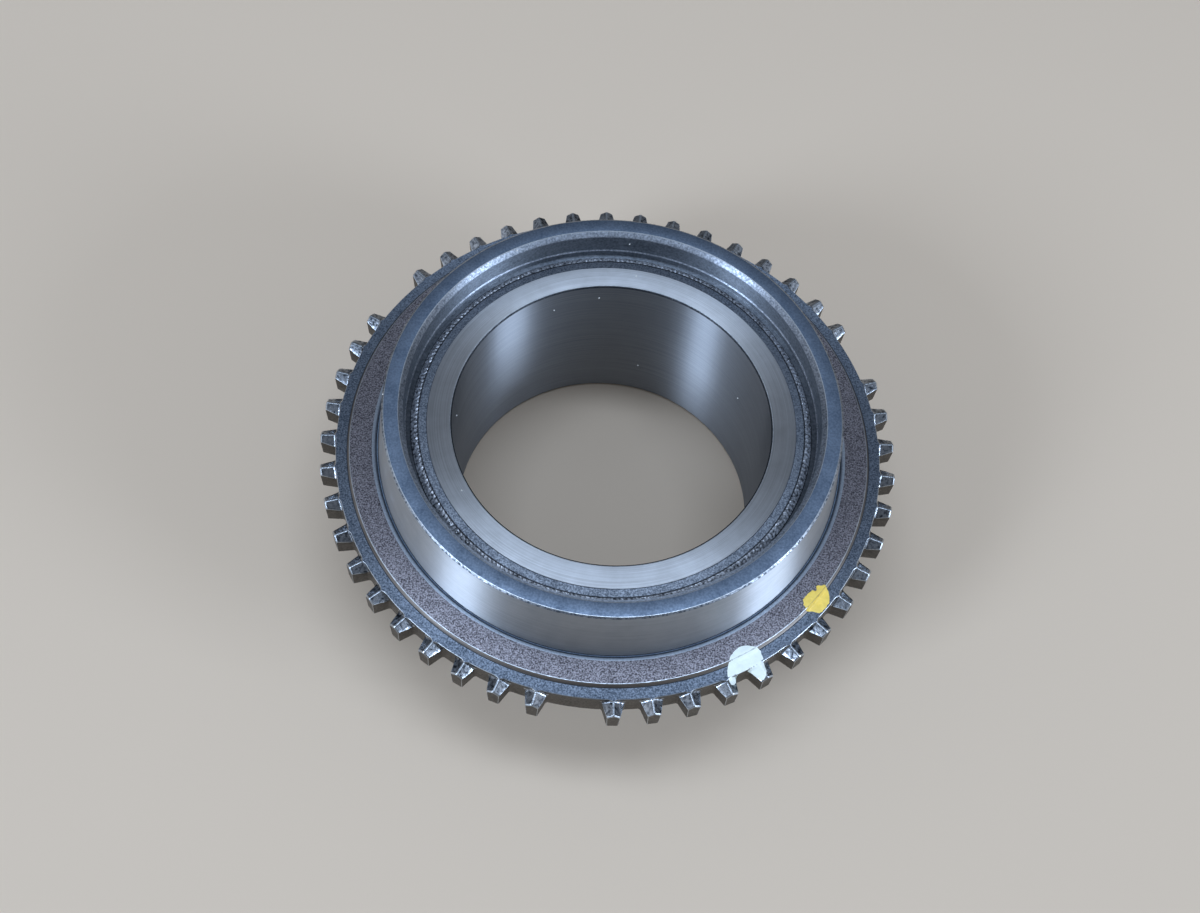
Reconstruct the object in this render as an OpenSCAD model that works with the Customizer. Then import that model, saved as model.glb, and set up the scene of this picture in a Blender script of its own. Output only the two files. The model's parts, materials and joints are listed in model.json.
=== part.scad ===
// Speed gear of a manual gearbox. A forged gear with a plain running bore carries a clutch ring, which is
// a toothed flange with a friction cone, and a beam weld joins the two in the pocket inside the cone.
// Axis along Z, bottom thrust face at Z = 0, cone towards +Z, one missing clutch tooth towards -Y.

/* [Bore and hub] */
// Diameter of the ground running bore
bore_d = 62.6; // [58:0.1:64]
// Length of the hub between its two ground thrust faces
hub_length = 38.35; // [37:0.05:42]
// Wall of the hub at the seat that the clutch ring is welded to
hub_wall = 7.3; // [6.6:0.1:8.2]
// Radial width of the ground front face
front_face_w = 4.9; // [3:0.1:5.4]
// Drop of the unground band outside the front face
front_band_drop = 0.15; // [0.05:0.05:0.4]
// Radial width of the ground back face
back_face_w = 5.4; // [3:0.1:6]
// Edge break at the front of the bore
bore_front_chamfer = 0.3; // [0.1:0.05:0.8]
// Lead-in chamfer at the back of the bore
bore_back_chamfer = 0.6; // [0.2:0.05:1.2]

/* [Running teeth] */
// Least radial width of the shoulder under the clutch ring, from its seat to the roots of the running teeth
shoulder_w = 1.0; // [0.8:0.05:1.6]
// Normal module of the running teeth
gear_module = 2.25; // [2.1:0.05:2.4]
// Helix angle of the running teeth, in degrees
helix_angle = 22; // [0:0.5:30]
// Normal pressure angle of the running teeth, in degrees
pressure_angle = 20; // [17.5:0.5:22.5]
// Face width of the running teeth
gear_face_w = 20.8; // [14:0.1:21.5]
// Height of the lower end of the running teeth above the back face
gear_lift = 1.4; // [0.5:0.1:2]
// Chamfer at both ends of the running teeth
gear_end_chamfer = 0.8; // [0.3:0.05:1.2]
// Backlash, taken off the thickness of each running tooth
gear_backlash = 0.08; // [0:0.01:0.2]

/* [Clutch ring] */
// Height of the flange's back above the hub's back face
flange_z = 24.4; // [24:0.1:26]
// Thickness of the flange at its rim
flange_t = 5.6; // [4:0.1:7]
// Radial width of the lower land at the flange's rim
rim_land_w = 2.25; // [1.2:0.05:4]
// Height of the step between the lower land and the raised land
step_h = 0.8; // [0.3:0.05:1.5]
// Radial width of the step's sloping face
step_w = 0.5; // [0.2:0.05:1]
// Radial width of the raised land between the step and the cone
raised_land_w = 5.0; // [3:0.1:8]

/* [Friction cone] */
// Height of the cone above the raised land
cone_h = 13.3; // [10:0.1:16]
// Half angle of the friction cone, in degrees
cone_angle = 7; // [5:0.5:9]
// Wall of the cone at its top, before the edges are broken
cone_wall = 4.0; // [3:0.1:6]
// Edge break at the outside of the cone's rim
rim_outer_chamfer = 0.3; // [0.1:0.05:0.8]
// Chamfer at the inside of the cone's rim
rim_inner_chamfer = 0.85; // [0.3:0.05:1.5]
// Width of the grinding relief at the foot of the cone
relief_w = 0.75; // [0.4:0.05:1.5]
// Depth of the grinding relief at the foot of the cone
relief_depth = 0.5; // [0.2:0.05:1]

/* [Weld pocket] */
// Radial width of the pocket between the hub's seat and the cone's inner wall
pocket_w = 1.75; // [1.2:0.05:3]
// Depth of the pocket's floor below the hub's front face
pocket_depth = 1.05; // [0.6:0.05:2]
// Reach of the weld bead inwards from the joint
weld_inner_w = 0.9; // [0.5:0.05:1]
// Reach of the weld bead outwards from the joint
weld_outer_w = 0.8; // [0.4:0.05:1.1]
// Depth of the weld bead below the pocket's floor
weld_depth = 0.6; // [0.3:0.05:1.5]
// Height of the weld bead's crown over the line between its toes
weld_crown = 0.3; // [0.1:0.05:0.5]
// Radial clearance between the hub's seat and the clutch ring
seat_clearance = 0.02; // [0.01:0.01:0.05]

/* [Clutch teeth] */
// Number of tooth places round the flange
dog_places = 48; // [36:3:54]
// Number of places, evenly spaced, that have no tooth
dog_gaps = 3; // [3:3:3]
// Radial height of the teeth
dog_h = 3.15; // [2:0.05:4]
// Width of a tooth at its tip, at the level of its ridge
dog_tip_w = 2.55; // [1.8:0.05:3]
// Slope of each flank against the radius, in degrees
dog_flank_angle = 16; // [5:0.5:20]
// Back taper of each flank, in degrees
dog_back_taper = 2.2; // [0:0.1:4]
// Slope of each of the two roof facets, in degrees
dog_roof_angle = 34; // [25:1:45]
// Set-back of the ridge of the roof from the flange's lower land
dog_front_setback = 0.05; // [0.05:0.05:0.5]
// Set-back of the teeth from the flange's back
dog_back_setback = 0.15; // [0.05:0.05:0.5]
// Width of the flat left along the ridge of the roof
dog_ridge_w = 0.25; // [0.1:0.05:0.5]
// Bevel at the outer end of the roof facets
dog_tip_bevel = 0.25; // [0.1:0.05:0.5]
// Fillet between the flanks and the flange's rim
dog_flank_fillet = 0.45; // [0.2:0.05:0.8]
// Fillet between the roof facets and the flange's rim
dog_roof_fillet = 0.6; // [0.3:0.05:0.9]

/* [Hidden] */
$fn = 96;

// Radii, worked outwards from the bore
bore_r = bore_d / 2;
seat_r = bore_r + hub_wall;
ring_bore_r = seat_r + seat_clearance;
front_face_r = bore_r + front_face_w;
back_face_r = bore_r + back_face_w;
weld_inner_r = seat_r - weld_inner_w;
weld_outer_r = seat_r + weld_outer_w;
pocket_r = seat_r + pocket_w;
cone_top_r = pocket_r + cone_wall;
cone_foot_r = cone_top_r + cone_h * tan(cone_angle);
relief_foot_r = cone_top_r + (cone_h + relief_depth) * tan(cone_angle);
step_top_r = cone_foot_r + relief_w + raised_land_w;
step_foot_r = step_top_r + step_w;
flange_r = step_foot_r + rim_land_w;
dog_tip_r = flange_r + dog_h;

// Heights above the back face
band_z = hub_length - front_band_drop;
pocket_z = hub_length - pocket_depth;
weld_root_z = pocket_z - weld_depth;
rim_land_z = flange_z + flange_t;
raised_land_z = rim_land_z + step_h;
cone_top_z = raised_land_z + cone_h;

// Running teeth, in the transverse plane: as few as leave the shoulder its width
gear_dedendum = 1.25 * gear_module;
least_pitch_r = seat_r + shoulder_w + gear_dedendum;
gear_teeth = ceil(2 * least_pitch_r * cos(helix_angle) / gear_module);
pitch_r = gear_teeth * gear_module / cos(helix_angle) / 2;
transverse_pressure = atan(tan(pressure_angle) / cos(helix_angle));
base_r = pitch_r * cos(transverse_pressure);
gear_tip_r = pitch_r + gear_module;
gear_root_r = pitch_r - gear_dedendum;
gear_twist = gear_face_w * tan(helix_angle) / pitch_r * 180 / PI;
gear_top_z = gear_lift + gear_face_w;
flank_steps = 3;
helix_slices = 4;

// The blank's rim lies this far under the roots of the running teeth
root_cover = 0.4;
blank_r = gear_root_r - root_cover;

// The cuts beside and over the clutch teeth start this far inside the rim, so that their fillets run into it
flank_sink = 0.2;
roof_sink = 0.1;
flank_foot_x = flange_r - flank_sink;
roof_foot_x = flange_r - roof_sink;
dog_root_half_w = dog_half_w(flank_foot_x);
dog_l = flange_t - dog_front_setback - dog_back_setback;
dog_pitch = 360 / dog_places;
// Angle of the first place without a tooth
first_gap = -90;
// How far cutting shapes pass the surfaces that they cut
over = 1;
// How much larger the corner piece of a flank fillet is drawn, so that it ends inside the metal
past_metal = 2;
// How much larger a fillet's circle is drawn, so that it crosses the faces that it joins
fillet_cross = 1.01;

// Colours of the steel and the weld
steel = [0.55, 0.56, 0.58];
dark_steel = [0.36, 0.37, 0.40];
weld_metal = [0.24, 0.23, 0.23];

// Involute function at a radius, in degrees
function involute(r) = let (a = acos(min(1, base_r / r))) tan(a) * 180 / PI - a;

// Half of the angle that a running tooth takes up at a radius
function tooth_half_angle(r) =
    90 / gear_teeth + involute(pitch_r) - involute(r) - gear_backlash / 2 / pitch_r * 180 / PI;

// Radius of one point along a running tooth's flank
function flank_r(k) = gear_root_r + (gear_tip_r - gear_root_r) * k / flank_steps;

function polar(r, angle) = [r * cos(angle), r * sin(angle)];

// Half width of a clutch tooth at a distance from the axis, at the level of its ridge
function dog_half_w(x) = dog_tip_w / 2 + (dog_tip_r - x) * tan(dog_flank_angle);

// Point on the weld bead's crown, from its inner toe at t = 0 to its outer toe at t = 1
function crown_point(t) = [
    weld_inner_r + (weld_outer_r - weld_inner_r) * t,
    band_z + (pocket_z - band_z) * t + weld_crown * sin(180 * t)
];
crown_steps = 6;

// Outline of the running teeth
module gear_outline() {
    places = [for (i = [0 : gear_teeth - 1]) i * 360 / gear_teeth];
    points = [
        for (place = places, side = [-1, 1], k = [0 : flank_steps])
            let (r = flank_r(side < 0 ? k : flank_steps - k))
            polar(r, place + side * tooth_half_angle(r))
    ];
    polygon(points);
}

// Helical running teeth as a ring, with both ends chamfered from the tips
module running_teeth() {
    intersection() {
        translate([0, 0, gear_lift])
            linear_extrude(height = gear_face_w, twist = gear_twist, slices = helix_slices)
                gear_outline();
        rotate_extrude()
            polygon([
                [seat_r - over, gear_lift],
                [gear_tip_r - gear_end_chamfer, gear_lift],
                [gear_tip_r + over, gear_lift + gear_end_chamfer + over],
                [gear_tip_r + over, gear_top_z - gear_end_chamfer - over],
                [gear_tip_r - gear_end_chamfer, gear_top_z],
                [seat_r - over, gear_top_z]
            ]);
    }
}

// Turned blank of the gear: bore, thrust faces, the seat for the clutch ring and one side of the weld groove
module gear_blank() {
    rotate_extrude()
        polygon([
            [bore_r + bore_back_chamfer, 0],
            [back_face_r, 0],
            [blank_r, gear_lift],
            [blank_r, gear_top_z],
            [gear_root_r, gear_top_z],
            [gear_root_r, flange_z],
            [seat_r, flange_z],
            [seat_r, weld_root_z],
            [weld_inner_r, band_z],
            [front_face_r, hub_length],
            [bore_r + bore_front_chamfer, hub_length],
            [bore_r, hub_length - bore_front_chamfer],
            [bore_r, bore_back_chamfer]
        ]);
}

module gear_body() {
    color(steel) {
        gear_blank();
        running_teeth();
    }
}

// Turned body of the clutch ring: flange, grinding relief, friction cone and the pocket inside it
module ring_blank() {
    rotate_extrude()
        polygon([
            [ring_bore_r, flange_z],
            [flange_r, flange_z],
            [flange_r, rim_land_z],
            [step_foot_r, rim_land_z],
            [step_top_r, raised_land_z],
            [cone_foot_r + relief_w, raised_land_z],
            [cone_foot_r + relief_w - relief_depth / 2, raised_land_z - relief_depth],
            [relief_foot_r, raised_land_z - relief_depth],
            [cone_top_r + rim_outer_chamfer * tan(cone_angle), cone_top_z - rim_outer_chamfer],
            [cone_top_r - rim_outer_chamfer, cone_top_z],
            [pocket_r + rim_inner_chamfer, cone_top_z],
            [pocket_r, cone_top_z - rim_inner_chamfer],
            [pocket_r, pocket_z],
            [weld_outer_r, pocket_z],
            [ring_bore_r, weld_root_z]
        ]);
}

// Space beside a clutch tooth in plan, with a fillet where the flank meets the flange's rim
module flank_space() {
    corner = [flank_foot_x, dog_root_half_w];
    half_corner = (90 + dog_flank_angle) / 2;
    tangent = dog_flank_fillet / tan(half_corner);
    centre = corner + [dog_flank_fillet, tangent];
    flank_touch = corner + tangent * [cos(dog_flank_angle), -sin(dog_flank_angle)];
    kite = [corner, flank_touch, centre, corner + [0, tangent]];
    end_x = dog_tip_r + over;
    outer_y = dog_root_half_w + dog_h;
    difference() {
        polygon([corner, [end_x, dog_half_w(end_x)], [end_x, outer_y], [flank_foot_x, outer_y]]);
        difference() {
            polygon([for (p = kite) centre + past_metal * (p - centre)]);
            translate(centre)
                circle(r = dog_flank_fillet * fillet_cross);
        }
    }
}

// Space over a roof facet, seen along its slope, with a fillet at the rim and a bevel at the outer end
module roof_space() {
    end_x = dog_tip_r + over;
    difference() {
        polygon([
            [roof_foot_x, 0],
            [dog_tip_r - dog_tip_bevel, 0],
            [end_x, -dog_tip_bevel - over],
            [end_x, flange_t],
            [roof_foot_x, flange_t]
        ]);
        difference() {
            translate([roof_foot_x - over, -over])
                square(dog_roof_fillet + over);
            translate([roof_foot_x + dog_roof_fillet, dog_roof_fillet])
                circle(r = dog_roof_fillet * fillet_cross);
        }
    }
}

// Tooth block with both flanks cut, leaning inwards towards its back at Z = 0
module flanked_block() {
    block_w = 2 * (dog_root_half_w + dog_flank_fillet);
    difference() {
        translate([flange_r - over, -block_w / 2, 0])
            cube([dog_h + over, block_w, dog_l]);
        for (side = [0, 1])
            mirror([0, side, 0])
                translate([0, 0, dog_l])
                    rotate([-dog_back_taper, 0, 0])
                        translate([0, 0, -dog_l - over])
                            linear_extrude(height = dog_l + 2 * over)
                                flank_space();
    }
}

// One clutch tooth along +X: tapered flanks and a gabled roof, with its back at Z = 0
module dog_tooth() {
    slope_w = (dog_root_half_w + dog_flank_fillet + over) / cos(dog_roof_angle);
    difference() {
        flanked_block();
        for (side = [0, 1])
            mirror([0, side, 0])
                translate([0, dog_ridge_w / 2, dog_l])
                    rotate([-dog_roof_angle, 0, 0])
                        translate([0, slope_w, 0])
                            rotate([90, 0, 0])
                                linear_extrude(height = slope_w + over)
                                    roof_space();
    }
}

// All clutch teeth, with one left out at the start of each equal group
module dog_teeth() {
    group = dog_places / dog_gaps;
    for (i = [0 : dog_places - 1])
        if (i % group != 0)
            rotate([0, 0, first_gap + i * dog_pitch])
                translate([0, 0, flange_z + dog_back_setback])
                    dog_tooth();
}

module clutch_ring() {
    color(dark_steel) {
        ring_blank();
        dog_teeth();
    }
}

// Weld bead that fills the groove over the joint and stands up a little between its two toes
module weld_bead() {
    crown = [for (i = [0 : crown_steps]) crown_point(1 - i / crown_steps)];
    color(weld_metal)
        rotate_extrude()
            polygon(concat([[seat_r, weld_root_z], [ring_bore_r, weld_root_z]], crown));
}

gear_body();
clutch_ring();
weld_bead();
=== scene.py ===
"""Looks of a manual gearbox speed gear with a welded clutch ring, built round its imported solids.

Every piece is a fine mesh in the frame of the solids, in metres, with the bore along Z.
"""

import json
import math

import bpy
import bmesh
from mathutils import Matrix, Vector, noise
from mathutils.bvhtree import BVHTree


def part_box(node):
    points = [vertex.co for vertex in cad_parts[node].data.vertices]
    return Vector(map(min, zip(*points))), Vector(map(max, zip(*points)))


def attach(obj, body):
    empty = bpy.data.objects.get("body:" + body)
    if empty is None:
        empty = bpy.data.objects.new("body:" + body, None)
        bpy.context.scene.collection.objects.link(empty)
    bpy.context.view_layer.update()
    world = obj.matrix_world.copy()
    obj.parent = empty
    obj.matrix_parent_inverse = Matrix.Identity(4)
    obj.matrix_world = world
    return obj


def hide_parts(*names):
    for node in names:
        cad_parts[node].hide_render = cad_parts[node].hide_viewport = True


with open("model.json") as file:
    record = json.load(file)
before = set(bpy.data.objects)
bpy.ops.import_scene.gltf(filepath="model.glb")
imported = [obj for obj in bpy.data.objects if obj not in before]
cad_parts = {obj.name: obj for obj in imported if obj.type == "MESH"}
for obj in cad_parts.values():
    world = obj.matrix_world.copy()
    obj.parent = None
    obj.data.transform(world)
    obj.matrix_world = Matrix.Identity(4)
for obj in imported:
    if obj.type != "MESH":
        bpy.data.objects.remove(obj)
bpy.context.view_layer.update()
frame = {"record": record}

bl_info = {
    "name": "Speed gear",
    "version": (1, 0, 0),
    "blender": (4, 5, 0),
    "location": "View3D > Sidebar > Speed gear",
    "description": "Builds a gearbox speed gear with its clutch ring, weld and paint dabs",
    "category": "Add Mesh",
}

MM = 0.001
BORE_DIMS = next(m["dims"] for m in frame["record"]["mounts"] if m["name"] == "bore")
HUB_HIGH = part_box("gear_body")[1]
RING_LOW, RING_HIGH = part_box("clutch_ring")

# Radius and height, in mm, of the weld's inner toe, outer toe and root in the joint of gear and ring
INNER_TOE = (37.7, 38.2)
OUTER_TOE = (39.4, 37.3)
WELD_ROOT = (38.6, 36.7)

# Radius, in mm, of the upper edge of the step between the two lands
STEP_TOP = 51.73

# Finishes of the faces, in the order of the numbers that the meshes carry
HUB_FINISHES = ["ground_bore", "ground_thrust_face", "unground_band", "hobbed_steel"]
RING_FINISHES = [
    "hardened_rim",
    "turned_land",
    "blasted_land",
    "turned_step",
    "turned_lip",
    "dark_relief",
    "ground_cone",
    "chipped_edge",
    "dark_pocket",
    "worn_edge",
    "tooth_roof",
    "tooth_flank",
    "rim_chamfer",
]
FINISHES = [*HUB_FINISHES, *RING_FINISHES, "beam_weld"]
F = {name: number for number, name in enumerate(FINISHES)}

# Colours of the lamps and of the room, a little cooler than white
LAMP_LIGHT = "#D3E6FF"
ROOM_LIGHT = "#EAF2FF"
ROOM_STRENGTH = 0.2

# Lamps stand this far from the gear, in metres, and aim at its middle
LAMP_DISTANCE = 1.2
LAMP_AIM = Vector((0, 0, 0.03))

# Camera's pan, tilt and roll in degrees and its place in mm
CAMERA_ANGLES = (-1.627, -61.242, 6.117)
CAMERA_PLACE = (2.377, -140.377, 278.229)


# Settings


def length(name, description, default):
    return bpy.props.FloatProperty(
        name=name, description=description, default=default, unit="LENGTH", precision=5
    )


def angle(name, description, degrees):
    return bpy.props.FloatProperty(
        name=name, description=description, default=math.radians(degrees), subtype="ANGLE"
    )


def whole_number(name, description, default):
    return bpy.props.IntProperty(name=name, description=description, default=default)


def power(name, description, watts):
    return bpy.props.FloatProperty(name=name, description=description, default=watts, unit="POWER")


def colour(name, description, code):
    return bpy.props.FloatVectorProperty(
        name=name, description=description, default=linear(code)[:3], size=3, subtype="COLOR"
    )


def linear(code):
    """Linear colour of an sRGB hex value."""
    parts = [int(code[i : i + 2], 16) / 255 for i in (1, 3, 5)]
    curve = [p / 12.92 if p <= 0.04045 else ((p + 0.055) / 1.055) ** 2.4 for p in parts]
    return (*curve, 1.0)


class HubSettings(bpy.types.PropertyGroup):
    bore_r: length("Bore radius", "Radius of the ground running bore", BORE_DIMS["r_mm"] * MM)
    hub_length: length("Hub length", "Distance between the two thrust faces", HUB_HIGH.z)
    front_face_w: length("Front face width", "Radial width of the ground front face", 4.9 * MM)
    back_face_w: length("Back face width", "Radial width of the ground back face", 5.4 * MM)
    seat_r: length("Seat radius", "Radius that the clutch ring sits on", WELD_ROOT[0] * MM)
    teeth: whole_number("Running teeth", "Number of running teeth", 35)
    module: length("Normal module", "Normal module of the running teeth", 2.25 * MM)
    helix: angle("Helix angle", "Helix angle of the running teeth", 22)
    pressure: angle("Pressure angle", "Normal pressure angle of the running teeth", 20)
    gear_low: length("Teeth start", "Height of the lower end of the running teeth", 1.4 * MM)
    gear_high: length("Teeth end", "Height of the upper end of the running teeth", 22.2 * MM)


class RingSettings(bpy.types.PropertyGroup):
    places: whole_number("Tooth places", "Clutch tooth places round the rim", 48)
    gaps: whole_number("Empty places", "Evenly spaced places without a tooth", 3)
    flange_r: length("Flange radius", "Radius of the rim between the clutch teeth", 54.48 * MM)
    flange_z: length("Flange back", "Height of the flange's back", RING_LOW.z)
    rim_land_z: length("Rim land height", "Height of the lower land at the rim", 30.0 * MM)
    raised_land_z: length("Raised land height", "Height of the raised land", 30.8 * MM)
    cone_top_z: length("Cone top", "Height of the cone's rim", RING_HIGH.z)
    tip_r: length("Tip radius", "Radius over the clutch teeth", RING_HIGH.x)
    tip_w: length("Tip width", "Width of a clutch tooth at its tip", 2.55 * MM)
    flank: angle("Flank angle", "Slope of each flank against the radius", 16)
    back_taper: angle("Back taper", "Taper of each flank towards the back", 2.2)
    roof: angle("Roof angle", "Slope of the two roof facets", 34)
    edge: length("Edge break", "Width of the broken edges", 0.1 * MM)


class WeldSettings(bpy.types.PropertyGroup):
    inner_r: length("Inner toe", "Radius of the bead's inner toe", INNER_TOE[0] * MM)
    outer_r: length("Outer toe", "Radius of the bead's outer toe", OUTER_TOE[0] * MM)
    inner_z: length("Inner toe height", "Height of the bead's inner toe", INNER_TOE[1] * MM)
    outer_z: length("Outer toe height", "Height of the bead's outer toe", OUTER_TOE[1] * MM)
    root_z: length("Root height", "Height of the bead's root", WELD_ROOT[1] * MM)
    crown: length("Crown", "Height of the bead over the line between its toes", 0.24 * MM)
    ripple: length("Ripple pitch", "Distance between two ripples along the bead", 0.95 * MM)


class PaintSettings(bpy.types.PropertyGroup):
    yellow: colour("Yellow dab", "Colour of the yellow inspection dab", "#FFDE66")
    mint: colour("Mint dab", "Colour of the pale mint inspection dab", "#F4FDF8")
    thickness: length("Thickness", "Thickness of the paint", 0.09 * MM)


class LintSettings(bpy.types.PropertyGroup):
    tone: colour("Lint", "Colour of the lint", "#E8E8E4")
    size: length("Size", "Size of a speck of lint", 0.34 * MM)


class StageSettings(bpy.types.PropertyGroup):
    paper: colour("Paper", "Colour of the plain floor", "#D6C4AF")
    lens: bpy.props.FloatProperty(
        name="Lens", description="Focal length on a 36 mm wide sensor", default=42.63, unit="CAMERA"
    )
    top_power: power("Top lamp", "Power of the wide lamp overhead", 7.3)
    left_power: power("Left lamp", "Power of the lamp at the left", 7.4)
    right_power: power("Right lamp", "Power of the lamp at the right", 7.4)
    wall_power: power("Walls", "Power of each wide pale wall at the sides", 1.6)


# Meshes


class Shell:
    """Collects the faces of a mesh, with a finish number for each face."""

    def __init__(self):
        self.numbers = {}
        self.points = []
        self.faces = []
        self.finishes = []

    def point(self, co):
        key = tuple(round(c * 1e8) for c in co)
        if key not in self.numbers:
            self.numbers[key] = len(self.points)
            self.points.append(tuple(co))
        return self.numbers[key]

    def face(self, corners, finish):
        numbers = []
        for co in corners:
            n = self.point(co)
            if n not in numbers:
                numbers.append(n)
        if len(numbers) > 2:
            self.faces.append(numbers)
            self.finishes.append(finish)

    def band(self, row_a, row_b, finish):
        """Faces between two rows of points; finish is a number, or a list with one number for each face."""
        for i in range(len(row_a) - 1):
            number = finish[i] if isinstance(finish, list) else finish
            self.face((row_a[i], row_a[i + 1], row_b[i + 1], row_b[i]), number)

    def build(self, name):
        mesh = bpy.data.meshes.new(name)
        mesh.from_pydata(self.points, [], self.faces)
        attribute = mesh.attributes.new("finish", "INT", "FACE")
        attribute.data.foreach_set("value", self.finishes)
        return mesh


def polar(r, theta, z):
    return Vector((r * math.cos(theta), r * math.sin(theta), z))


def round_corner(a, corner, b, width):
    """Three points in place of a corner between two straight stretches."""
    p = corner + (a - corner).normalized() * width
    q = corner + (b - corner).normalized() * width
    return [p, (p + 2 * corner + q) / 4, q]


def turned_rows(corners):
    """Rows of a turned profile from corners (r, z, edge width, finish after it, finish of the edge).

    Returns the (r, z) rows and the finish of the band that follows each row.
    """
    rows, bands = [], []
    places = [Vector(c[:2]) for c in corners]
    for i, (*_, width, after, edge) in enumerate(corners):
        inner = 0 < i < len(corners) - 1 and width > 0
        if inner:
            rows += round_corner(places[i - 1], places[i], places[i + 1], width)
            bands += [edge, edge, after]
        else:
            rows.append(places[i])
            bands.append(after)
    return rows, bands


def tooth_section(s, x, spread=0.0, drop=0.0, inset=0.0):
    """Right half of a clutch tooth's section at x from the axis, as (y, z) from ridge to back."""
    ridge_z = s.rim_land_z - 0.15 * MM
    back_z = s.flange_z + 0.15 * MM + inset
    ridge_y, ridge_edge = 0.125 * MM, 0.07 * MM
    half_w = s.tip_w / 2 + (s.tip_r - x) * math.tan(s.flank) + spread - inset
    back, slope = math.tan(s.back_taper), math.tan(s.roof)
    eave_y = (half_w - back * drop + back * slope * ridge_y) / (1 + back * slope)
    top_z = ridge_z - drop
    eave = Vector((eave_y, top_z - (eave_y - ridge_y) * slope))
    corner = Vector((half_w - (ridge_z - back_z) * back, back_z))
    ridge_mid, ridge = Vector((0, top_z)), Vector((ridge_y, top_z))
    back_mid = Vector((0, back_z))
    ridge_turn = round_corner(ridge_mid, ridge, eave, ridge_edge)
    eave_turn = round_corner(ridge, eave, corner, s.edge)
    back_turn = round_corner(eave, corner, back_mid, s.edge)
    half = [ridge_mid, *ridge_turn]
    half += [ridge_turn[2].lerp(eave_turn[0], t) for t in (0.25, 0.5, 0.75)]
    half += eave_turn
    half += [eave_turn[2].lerp(back_turn[0], t) for t in (1 / 3, 2 / 3)]
    half += back_turn
    half += [back_turn[2].lerp(back_mid, t / 7) for t in range(1, 7)]
    return half + [back_mid]


# Places in a half section: last point of the eave, first point of the back corner
EAVE, BACK = 9, 12


def both_sides(half):
    """Closed loop of points from the right half of a section."""
    return half + [Vector((p.x, -p.y, p.z)) for p in reversed(half[1:-1])] + [half[0]]


def root_row(s, share, land_edge_z):
    """Half section at the tooth's root, from the rim at share 1 to the end of the fillets at share 0."""
    flank_fillet, roof_fillet = 0.45 * MM, 0.6 * MM
    turn = share * math.pi / 2
    x = s.flange_r + flank_fillet * (1 - math.sin(turn))
    row = []
    for i, (y, z) in enumerate(tooth_section(s, x, spread=flank_fillet * (1 - math.cos(turn)))):
        rim_x = math.sqrt(s.flange_r**2 - y**2)
        if i > EAVE:
            row.append(Vector((rim_x + flank_fillet * (1 - math.sin(turn)), y, z)))
            continue
        fillet = roof_fillet + (flank_fillet - roof_fillet) * i / EAVE
        level = 1.0 if i < 2 else math.cos(s.roof)
        room = (land_edge_z - z) * level / fillet
        most = math.acos(1 - room) if room < 1 else math.pi / 2
        bend = most * share
        row.append(
            Vector((rim_x + fillet * (1 - math.sin(bend)), y, z + fillet * (1 - math.cos(bend)) / level))
        )
    return row


def add_tooth(shell, s, land_edge_z):
    """Adds a clutch tooth along +X, from its root on the rim to its tip."""
    steps = 6
    roots = [root_row(s, 1 - k / steps, land_edge_z) for k in range(steps + 1)]
    halves = list(roots)
    halves.append([p + Vector((0.04 * MM, 0, 0)) for p in roots[-1]])
    # Distance from the axis, drop of the roof, inset of the flanks and back
    stations = [
        (s.tip_r - 1.3 * MM, 0, 0),
        (s.tip_r - 0.29 * MM, 0, 0),
        (s.tip_r - 0.12 * MM, 0.13 * MM, 0),
        (s.tip_r - 0.035 * MM, 0.215 * MM, 0.035 * MM),
        (s.tip_r, 0.27 * MM, 0.12 * MM),
    ]
    for x, drop, inset in stations:
        halves.append([Vector((x, y, z)) for y, z in tooth_section(s, x, drop=drop, inset=inset)])
    loops = [both_sides(half) for half in halves]
    count = len(loops[0]) - 1
    last = len(loops) - 1
    for k in range(last):
        finishes = []
        for i in range(count):
            place = min(i, count - 1 - i)  # Distance from the ridge, counted in faces
            roof = place < EAVE - 2
            on_edge = 0 < place < 3 or EAVE - 3 < place < EAVE
            tip = k >= last - 3 and roof or k >= last - 1
            if tip or on_edge and k > steps:
                finishes.append(F["worn_edge"])
            elif roof:
                finishes.append(F["tooth_roof"])
            else:
                finishes.append(F["tooth_flank"])
        shell.band(loops[k], loops[k + 1], finishes)
    shell.face(loops[-1][:-1], F["tooth_flank"])


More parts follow.
